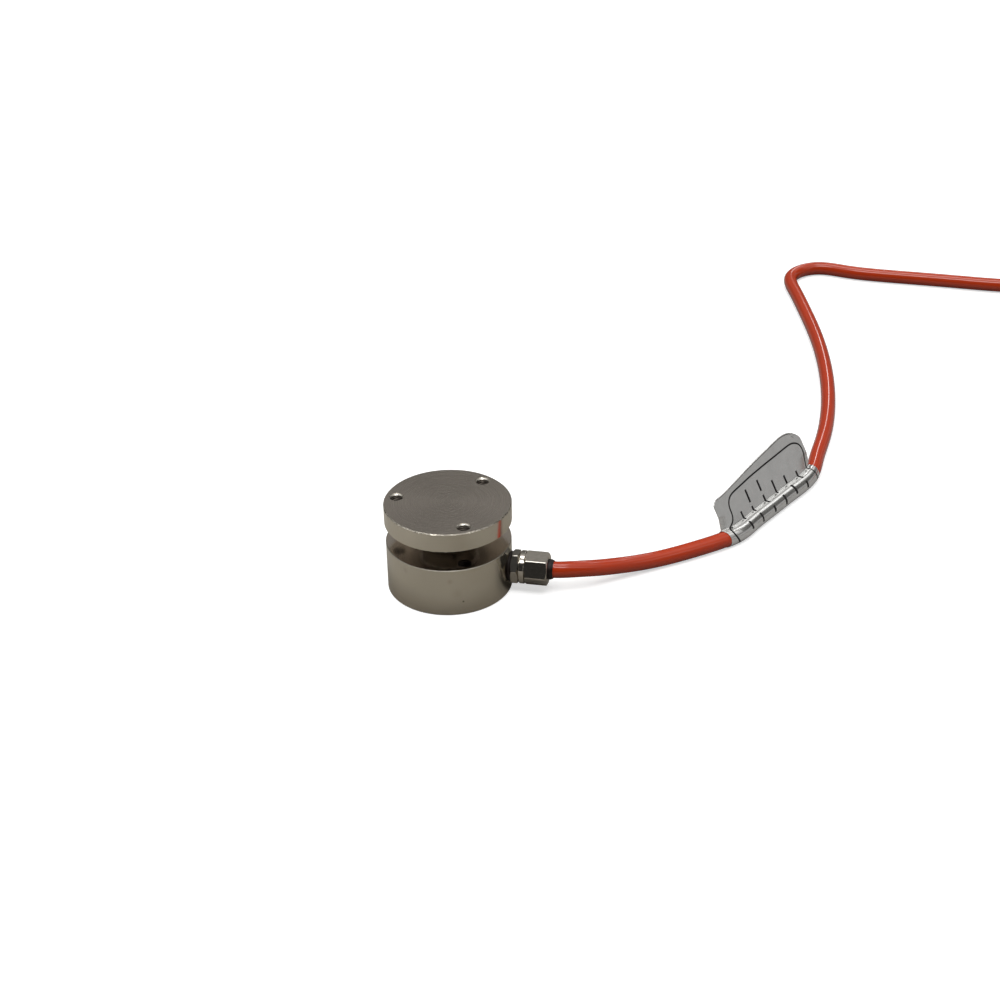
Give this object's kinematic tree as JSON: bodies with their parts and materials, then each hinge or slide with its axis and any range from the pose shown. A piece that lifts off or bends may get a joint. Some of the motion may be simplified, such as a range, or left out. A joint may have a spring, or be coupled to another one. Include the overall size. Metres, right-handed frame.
{
  "type": "inline load cell",
  "caption": "Small round tension and compression load cell with threaded holes in both faces, a groove under its top disc, a side cable gland and an orange cable.",
  "frame": {"origin": "centre of the base hole circle, where the load axis meets the base plane", "axes": "+Z along the load axis, up to the top disc; +X along the cable gland, outwards; +Y to the left of someone who looks along +X"},
  "size_m": [0.2928, 0.2634, 0.028],
  "materials": {
    "load_steel": "turned stainless steel, fine lathe marks, near mirror on the sides",
    "cover_steel": "turned stainless steel, satin",
    "sealant": "smooth cured potting compound",
    "gauge_foil": "amber film carrier with metal foil grid",
    "circuit_board": "fibreglass board with solder pads",
    "resistor_body": "glazed ceramic chip",
    "enamelled_copper": "enamelled copper wire",
    "gland_metal": "nickel plate, bright",
    "seal_rubber": "black nitrile, satin",
    "slip_washer": "thin nylon ring",
    "cable_jacket": "orange polyurethane jacket, glossy",
    "core_red": "thin insulation, semi gloss",
    "core_black": "thin insulation, semi gloss",
    "core_green": "thin insulation, semi gloss",
    "core_white": "thin insulation, semi gloss",
    "tinned_copper": "tinned copper strands, bright",
    "shrink_sleeve": "heat-shrink sleeve, satin",
    "tie_strap": "moulded nylon strap, satin",
    "label_foil": "silver foil, satin, with a thin black border and plain bars"
  },
  "bodies": {
    "root": {"elastic_body": "load_steel", "bottom_cover": "cover_steel", "cover_sealant": "sealant", "strain_gauge_1": "gauge_foil", "strain_gauge_2": "gauge_foil", "strain_gauge_3": "gauge_foil", "strain_gauge_4": "gauge_foil", "terminal_board": "circuit_board", "zero_resistor": "resistor_body", "span_resistor": "resistor_body", "temperature_resistor": "resistor_body", "gauge_lead_wires": "enamelled_copper", "gland_body": "gland_metal", "gland_o_ring": "seal_rubber", "gland_slip_washer": "slip_washer", "gland_seal": "seal_rubber", "gland_nut": "gland_metal", "inner_sleeve": "shrink_sleeve", "core_red_inner_end": "core_red", "core_black_inner_end": "core_black", "core_green_inner_end": "core_green", "core_white_inner_end": "core_white", "shield_wire_inner_end": "tinned_copper", "cable": "cable_jacket", "cable_coil": "cable_jacket", "cable_tail": "cable_jacket", "coil_tie_a": "tie_strap", "coil_tie_b": "tie_strap", "tail_sleeve": "shrink_sleeve", "core_red_far_end": "core_red", "core_black_far_end": "core_black", "core_green_far_end": "core_green", "core_white_far_end": "core_white", "shield_wire_far_end": "tinned_copper", "cable_label": "label_foil"}
  },
  "joints": []
}
